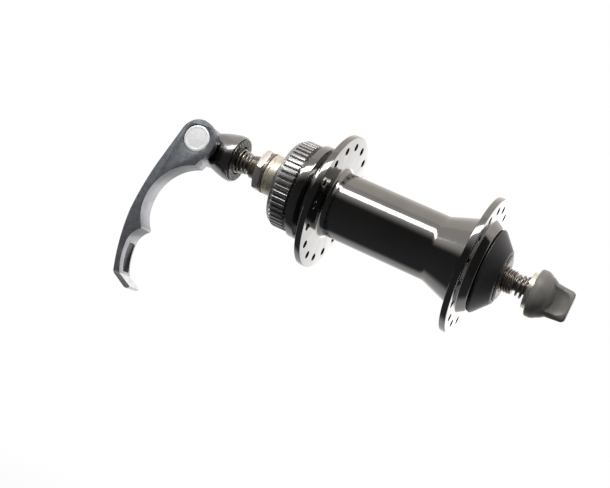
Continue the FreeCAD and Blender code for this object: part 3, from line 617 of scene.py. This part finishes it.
# Lever: thin head beside the acorn, wide hooked arm, finger tab
lever = {
    "pivotY": -74.4, "front": 12.0, "topBack": 3.2, "endBack": 1.7, "drop": 61.7, "bow": 11.75, "edge": 0.45,
    "headR": 7.3, "headY": 0.3, "plateX": 8.9, "sweep": 9.0, "shoulder": 7.1, "shoulderY": 1.46,
    "holeR": 3.75, "seatR": 5.2, "seatX": 11.0, "tabFrom": 57.7, "tabSlope": 1.5,
    "pocketLow": 2.8, "pocketHigh": 8.6, "pocketEdge": 1.4,
}


def armPoint(bow, drop):
    # A place on the arm by its shares of the bow and the drop
    return (lever["pivotY"] + bow * lever["bow"], -drop * lever["drop"])


def leverOutline(s):
    head, r = s["pivotY"] + s["headY"], s["headR"]
    start = (head - r * 0.97, r * 0.24)
    return flatOutline([
        # Outer edge down to the tab's tip
        start, armPoint(-0.825, 0.209), (armPoint(-0.975, 0.43), armPoint(-1.0, 0.56)),
        (armPoint(-0.85, 0.77), armPoint(-0.62, 0.926)), (armPoint(-0.587, 0.942), armPoint(-0.51, 0.955)),
        armPoint(-0.1, 0.997), (armPoint(0.03, 1.0), armPoint(0.13, 0.982)),
        # Back up the inner edge, round the finger's hollow and the long arc
        armPoint(-0.375, 0.934),
        (armPoint(-0.596, 0.817), armPoint(-0.638, 0.742)), (armPoint(-0.587, 0.69), armPoint(-0.417, 0.645)),
        (armPoint(-0.374, 0.632), armPoint(-0.4, 0.621)), (armPoint(-0.655, 0.533), armPoint(-0.715, 0.447)),
        (armPoint(-0.425, 0.269), armPoint(0.357, 0.156)), (head + r * 0.70, -r * 0.9),
        # Round the head
        ((head + r, 0), (head, r)), ((head - r * 0.71, r * 0.71), start),
    ], 18)


def leverPiece(s):
    pivot, drop, sweep, front, shoulder = s["pivotY"], s["drop"], s["sweep"], s["front"], s["shoulder"]
    arm = platePiece("leverArm", leverOutline(s), s["endBack"], front)
    # The back slopes, so the arm is thickest at its end
    wedge = [(-drop - 1, s["endBack"] - 1), (-drop, s["endBack"]), (-sweep, s["topBack"]), (20, s["topBack"]),
             (20, -1)]
    combined(arm, barPiece("wedge", wedge, pivot - 30, pivot + 30))
    # Only a plate is left beside the acorn
    stepY = pivot + s["shoulderY"]
    beside = [(pivot - 20, -sweep), (stepY, -sweep), (stepY, -shoulder), (pivot + 20, -shoulder),
              (pivot + 20, 20), (pivot - 20, 20)]
    combined(arm, platePiece("beside", beside, -2, s["plateX"]))
    tab = [(-s["tabFrom"], 13), (-s["tabFrom"], front), (-drop - 1, front - s["tabSlope"]), (-drop - 1, 13)]
    combined(arm, barPiece("tabSide", tab, pivot - 30, pivot + 30))
    hole = [(6, 0), (6, s["holeR"]), (s["seatX"], s["holeR"]), (s["seatX"], s["seatR"]), (13, s["seatR"]), (13, 0)]
    combined(arm, turnedPiece("headHole", hole, 96, pivot))
    bevelled(arm, s["edge"], 3, 40)
    arm.data.materials.clear()
    for finish in ("blastedAluminium", "milledAluminium", "blackAnodisedAluminium", "paintedHighlightAluminium"):
        arm.data.materials.append(materials[finish])
    blasted, milled, anodised, tabHighlight = range(4)
    for polygon in arm.data.polygons:
        x, z = polygon.center.x / mm, polygon.center.z / mm
        n = polygon.normal
        below = z < -sweep + 1 or (x < s["plateX"] and z < -shoulder + 1)
        inner = n.y > -0.2 and below and n.x > -0.5
        if not inner or n.x > 0.95:
            polygon.material_index = blasted
        else:
            polygon.material_index = milled if n.x < 0.3 else anodised
        # The tab's sloped front and its inner faces turned towards the light get a near-white painted highlight
        if z < -s["tabFrom"] - 0.1 and (0.9 < n.x < 0.985 or (n.x < 0.5 and n.y > 0.1)):
            polygon.material_index = tabHighlight
    pocket = flatOutline([armPoint(0, 0.735), armPoint(-0.655, 0.74),
                          (armPoint(-0.665, 0.8), armPoint(-0.53, 0.92)), armPoint(0, 0.92)])
    cutter = bevelled(platePiece("fingerPocket", pocket, s["pocketLow"], s["pocketHigh"]), s["pocketEdge"], 4)
    cutter.data.materials.append(materials["forgedSkin"])
    return combined(arm, cutter)


dressed(leverPiece(lever), "lever_arm", None, ["lever"], 24)
print("lever made")


# Adjusting nut, moulded: skirt, dome and a scooped wing
nut = {
    "r": 8.9, "base": 61.0, "skirt": 63.3, "top": 69.1, "grain": 0.16,
    "wingEnd": 75.0, "root": 68.0, "rootHalf": 6.4, "endHalf": 5.9, "shoulder": 8.5, "swell": 0.25, "corner": 1.6,
    "thick": 2.4, "edgeThick": 1.9, "flare": 0.75, "flareFrom": 71.2,
    "floor": 0.8, "scoopFlare": 0.58, "rim": 1.1, "rimZ": 4.75, "rimEnd": 74.5, "scoopFrom": 69.0, "gridStep": 0.25,
}


def wingThickening(n, y, slope):
    # The wing and its scoops grow thicker towards the dome
    ahead = n["flareFrom"] - y
    return slope * (ahead + math.hypot(ahead, 0.8)) / 2


def wingBody(n):
    # Oval sections from the skirt to the wing's rounded end
    skirt, root, last, corner, endHalf = n["skirt"], n["root"], n["wingEnd"], n["corner"], n["endHalf"]
    cornerY, waistY = last - corner, skirt + (root - skirt) * 0.55
    waist = (n["shoulder"] + n["rootHalf"]) / 2 + n["swell"]
    rim = flatOutline([(skirt, n["shoulder"]), ((waistY, waist), (root, n["rootHalf"])),
                       (cornerY - 2.7, endHalf + 0.25), (cornerY, endHalf)], 8)
    cut = corner * 0.293  # how far a quarter round stands off its corner
    rim += arcPoints(rim[-1], (last - cut, endHalf - cut), (last, endHalf - corner), 8)
    verts, sides = [], 72
    for y, high in rim:
        thinning = (n["thick"] - n["edgeThick"]) * max(0.0, (y - root) / (last - root)) ** 2
        thick = n["thick"] + wingThickening(n, y, n["flare"]) - thinning
        for k in range(sides):
            across, up = math.cos(math.tau * k / sides), math.sin(math.tau * k / sides)
            verts.append((math.copysign(thick * abs(across) ** 0.8, across), y,
                          math.copysign(high * abs(up) ** 0.9, up)))
    return newPiece("wing", verts, skinFaces(len(rim), sides))


def scoopCutter(n, side):
    # A grid over the wing: hollow in the middle, rising to the rims and towards the dome
    alongs = [n["skirt"] - 0.5 + n["gridStep"] * k for k in range(53)]
    ups = [-7 + n["gridStep"] * k for k in range(57)]
    verts = []
    for y in alongs:
        for z in ups:
            rim = n["rimZ"] + 0.12 * max(0.0, n["scoopFrom"] + 3 - y)
            toEnd = max(0.0, (y - n["scoopFrom"]) / (n["rimEnd"] - n["scoopFrom"]))
            share = ((abs(z) / rim) ** 3 + toEnd ** 3) ** (1 / 3)
            depth = n["floor"] + wingThickening(n, y, n["scoopFlare"]) + n["rim"] * share ** 2.4
            verts.append((side * depth, y, z))
    verts += [(side * 14, y, z) for y in alongs for z in ups]
    rows, columns = len(alongs), len(ups)
    half = rows * columns
    faces = []
    for i in range(rows - 1):
        for j in range(columns - 1):
            a = i * columns + j
            b, c, d = a + 1, a + columns + 1, a + columns
            faces += [(a, b, c, d), (half + a, half + d, half + c, half + b)]
    edge = [j for j in range(columns)] + [i * columns + columns - 1 for i in range(1, rows)]
    edge += [(rows - 1) * columns + j for j in range(columns - 2, -1, -1)]
    edge += [i * columns for i in range(rows - 2, 0, -1)]
    for k, here in enumerate(edge):
        ahead = edge[(k + 1) % len(edge)]
        faces.append((here, ahead, half + ahead, half + here))
    return newPiece("scoop", verts, faces)


def nutPiece(n):
    base, r = n["base"], n["r"]
    dome = [(base, 0), (base, r - 0.5), (base + 0.5, r), (n["skirt"], r),
            ((66.1, 7.4), (67.9, 5.0)), ((68.75, 2.8), (n["top"], 0))]
    dome = softened(flatOutline(dome), 1.2, 6)
    piece = turnedPiece("nutBody", dome, 128)
    combined(piece, wingBody(n), "UNION")
    for side in (-1, 1):
        combined(piece, scoopCutter(n, side))
    # The dome swells back over the inner end of each scoop
    combined(piece, turnedPiece("domeAgain", dome, 128), "UNION")
    remesh = piece.modifiers.new("skin", "REMESH")
    remesh.mode = "VOXEL"
    remesh.voxel_size = n["grain"] * mm
    smooth = piece.modifiers.new("smooth", "SMOOTH")
    smooth.factor = 0.5
    smooth.iterations = 3
    baked(piece)
    # Seat of the insert, clearance round the thread and the rod's end
    hole = [(base - 1, 0), (base - 1, 6.85), (61.6, 6.85), (61.6, 3.9), (67.2, 3.9), (67.2, 2.85), (68.3, 2.85),
            (68.3, 0)]
    return combined(piece, turnedPiece("nutBore", hole, 72))


dressed(nutPiece(nut), "nut", "mouldedNylon", ["nut_body"], 40)
print("adjusting nut made")

# The nodes that keep their own shape get their finishes
kept = {
    "left_cup": "groundSteel", "right_cup": "groundSteel", "left_balls": "groundSteel",
    "right_balls": "groundSteel", "left_cone": "groundSteel", "right_cone": "groundSteel",
    "left_dust_cap": "nickelPlatedSteel", "right_dust_cap": "nickelPlatedSteel",
    "left_seal": "mouldedRubber", "right_seal": "mouldedRubber",
    "right_washer": "nickelPlatedSteel", "skewer_rod": "rolledSteel", "grip_ring": "toothedSteel",
    "cam_clip": "drawnWire", "nut_insert": "pressedSteel",
}
for node, finish in kept.items():
    nodes[node].data.materials.clear()
    nodes[node].data.materials.append(materials[finish])

# Camera where the photograph was taken from; place in millimetres, then its right, down and forward directions
view = {
    "place": (435.098, 111.992, -37.923), "right": (-0.24767, 0.86717, 0.43205),
    "down": (-0.16420, 0.40193, -0.90083), "forward": (-0.95483, -0.29406, 0.04285),
    "focalPixels": 1233.24, "widthPixels": 610, "sensorMm": 36.0,
}
lens = bpy.data.cameras.new("photoCamera")
lens.sensor_width = view["sensorMm"]
lens.lens = view["focalPixels"] * view["sensorMm"] / view["widthPixels"]
lens.clip_start = 0.01
camera = bpy.data.objects.new("photoCamera", lens)
bpy.context.scene.collection.objects.link(camera)
turn = Matrix((view["right"], [-v for v in view["down"]], [-v for v in view["forward"]])).transposed()
camera.matrix_world = Matrix.Translation(Vector(view["place"]) * mm) @ turn.to_4x4()
bpy.context.scene.camera = camera

# Lamps, all facing the hub: place and size in metres, the direction of the long side, brightness of the surface
lamps = {
    "longStrip": {"place": (0.44, -0.1, 0.48), "size": (0.15, 1.05), "along": (0, 0.866, 0.5),
                  "brightness": 12.0, "colour": "#FFFFFF"},
    "ceiling": {"place": (-0.3, 0.0, 0.74), "size": (1.2, 1.4), "along": (0, 1, 0),
                "brightness": 0.35, "colour": "#FFE9D2"},
    "backPanel": {"place": (-0.86, 0.34, 0.05), "size": (0.7, 0.9), "along": (0, 1, 0),
                  "brightness": 1.3, "colour": "#FFFFFF"},
}
for name, s in lamps.items():
    lamp = bpy.data.lights.new(name, "AREA")
    lamp.shape = "RECTANGLE"
    lamp.size, lamp.size_y = s["size"]
    lamp.energy = s["brightness"] * math.pi * s["size"][0] * s["size"][1]
    lamp.color = linearColour(s["colour"])[:3]
    holder = bpy.data.objects.new(name, lamp)
    bpy.context.scene.collection.objects.link(holder)
    place = Vector(s["place"])
    away = place.normalized()
    side = Vector(s["along"]).cross(away).normalized()
    holder.matrix_world = Matrix.Translation(place) @ Matrix((side, away.cross(side), away)).transposed().to_4x4()
    holder.visible_camera = False


# Paper floor and surroundings: white for the camera, in gloss and through glass. The paper itself is grey and
# the world dim, so that they throw back little light
def whiteMix(tree, lit, share, white):
    path = addNode(tree, "ShaderNodeLightPath")
    seen = addNode(tree, "ShaderNodeMath", {"operation": "MAXIMUM"},
                   links={0: path.outputs["Is Camera Ray"], 1: path.outputs["Is Glossy Ray"]})
    seen = addNode(tree, "ShaderNodeMath", {"operation": "MAXIMUM"},
                   links={0: seen.outputs[0], 1: path.outputs["Is Transmission Ray"]})
    if share:  # how much of the white shows, so that the floor keeps the hub's shadow
        seen = addNode(tree, "ShaderNodeMath", {"operation": "MULTIPLY"}, links={0: seen.outputs[0], 1: share})
    return addNode(tree, "ShaderNodeMixShader", links={0: seen.outputs[0], 1: lit, 2: white})


white = (1, 1, 1, 1)
floor = {"height": -300, "half": 3000, "colour": "#8A8A8A", "shadowTo": 0.4, "whiteFrom": 0.9, "shareUnder": 0.9}
paper, tree = blankMaterial("whitePaper")
paperLit = addNode(tree, "ShaderNodeBsdfDiffuse", None, {"Color": linearColour(floor["colour"])})
paperGlow = addNode(tree, "ShaderNodeEmission", None, {"Color": white, "Strength": 1.0})
spot = addNode(tree, "ShaderNodeTexCoord")
reach = addNode(tree, "ShaderNodeVectorMath", {"operation": "LENGTH"}, links={0: spot.outputs["Object"]})
share = addNode(tree, "ShaderNodeMapRange", None,
                {1: floor["shadowTo"], 2: floor["whiteFrom"], 3: floor["shareUnder"], 4: 1.0},
                {0: reach.outputs["Value"]})
paperMix = whiteMix(tree, paperLit.outputs[0], share.outputs[0], paperGlow.outputs[0])
addNode(tree, "ShaderNodeOutputMaterial", links={"Surface": paperMix.outputs[0]})
corners = [(-1, -1), (1, -1), (1, 1), (-1, 1)]
floorPiece = newPiece("paperFloor", [(x * floor["half"], y * floor["half"], floor["height"]) for x, y in corners],
                      [(0, 1, 2, 3)])
floorPiece.data.materials.append(paper)

world = bpy.data.worlds.new("studio")
bpy.context.scene.world = world
world.use_nodes = True
tree = world.node_tree
tree.nodes.clear()
dim = addNode(tree, "ShaderNodeBackground", None, {"Color": white, "Strength": 0.04})
bright = addNode(tree, "ShaderNodeBackground", None, {"Color": white, "Strength": 1.0})
worldMix = whiteMix(tree, dim.outputs[0], None, bright.outputs[0])
addNode(tree, "ShaderNodeOutputWorld", links={"Surface": worldMix.outputs[0]})


# Dark cards that only gloss sees: one curved round the front and underside, one past the nut end
def cardMaterial(name, colours, bearing, fades):
    # Fades hold where the card is clear, where it is solid and how far the fade moves per metre towards
    # the lever end. They run along the bearing round the axle, or else along the height
    material, tree = blankMaterial(name)
    spot = addNode(tree, "ShaderNodeTexCoord")
    parts = addNode(tree, "ShaderNodeSeparateXYZ", links={0: spot.outputs["Object"]})
    place = parts.outputs["Z"]
    if bearing:
        place = addNode(tree, "ShaderNodeMath", {"operation": "ARCTAN2"},
                        links={0: parts.outputs["Z"], 1: parts.outputs["X"]}).outputs[0]
    leverWards = addNode(tree, "ShaderNodeMapRange", None, {1: -0.08, 2: -1.08, 3: 0.0, 4: 1.0},
                         {0: parts.outputs["Y"]})
    cover = None
    for clearAt, solidAt, lean in fades:
        here = addNode(tree, "ShaderNodeMath", {"operation": "MULTIPLY_ADD"}, {1: lean},
                       {0: leverWards.outputs[0], 2: place})
        fade = addNode(tree, "ShaderNodeMapRange", {"interpolation_type": "SMOOTHSTEP"},
                       {1: clearAt, 2: solidAt}, {0: here.outputs[0]})
        if cover:
            fade = addNode(tree, "ShaderNodeMath", {"operation": "MULTIPLY"}, links={0: cover, 1: fade.outputs[0]})
        cover = fade.outputs[0]
    run = addNode(tree, "ShaderNodeMapRange", None, {1: fades[0][1], 2: fades[-1][1]}, {0: place})
    colour = addNode(tree, "ShaderNodeMix", {"data_type": "RGBA"},
                     {6: linearColour(colours[0]), 7: linearColour(colours[1])}, {0: run.outputs[0]})
    clear = addNode(tree, "ShaderNodeBsdfTransparent")
    flock = addNode(tree, "ShaderNodeEmission", None, {"Strength": 1.0}, {"Color": colour.outputs[2]})
    mix = addNode(tree, "ShaderNodeMixShader", links={0: cover, 1: clear.outputs[0], 2: flock.outputs[0]})
    addNode(tree, "ShaderNodeOutputMaterial", links={"Surface": mix.outputs[0]})
    return material


def onlyInGloss(card, material):
    card.data.materials.append(material)
    for ray in ("camera", "diffuse", "transmission", "shadow", "volume_scatter"):
        setattr(card, "visible_" + ray, False)


# Curved card: radius and half length in millimetres, and its bearings in degrees from the front
card = {"r": 270, "halfLength": 900, "from": -125, "to": 40, "solidFrom": -103, "solidTo": 10, "lean": 1.05,
        "steps": 48, "colours": ("#53565C", "#3C3C3A")}
cardVerts = []
for k in range(card["steps"] + 1):
    angle = math.radians(card["from"] + (card["to"] - card["from"]) * k / card["steps"])
    for y in (-card["halfLength"], card["halfLength"]):
        cardVerts.append((card["r"] * math.cos(angle), y, card["r"] * math.sin(angle)))
cardFaces = [(2 * k, 2 * k + 1, 2 * k + 3, 2 * k + 2) for k in range(card["steps"])]
cardFades = [(math.radians(card["from"]), math.radians(card["solidFrom"]), -card["lean"]),
             (math.radians(card["to"]), math.radians(card["solidTo"]), card["lean"])]
onlyInGloss(newPiece("blackCard", cardVerts, cardFaces),
            cardMaterial("blackFlock", card["colours"], True, cardFades))

# Flat card across the axle: its corners in millimetres, its fades in metres
endCard = {"y": 500, "back": 0, "front": 900, "low": -280, "high": 750, "colours": ("#3C3C3C", "#3C3C3C"),
           "fades": [(-0.3, -0.28, 0.0), (0.75, 0.5, 0.0)]}
endCorners = [(endCard["back"], endCard["low"]), (endCard["front"], endCard["low"]),
              (endCard["front"], endCard["high"]), (endCard["back"], endCard["high"])]
onlyInGloss(newPiece("endCard", [(x, endCard["y"], z) for x, z in endCorners], [(0, 1, 2, 3)]),
            cardMaterial("blackFelt", endCard["colours"], False, endCard["fades"]))
bpy.context.scene.view_settings.view_transform = "Standard"
print("camera, lamps and stage made")
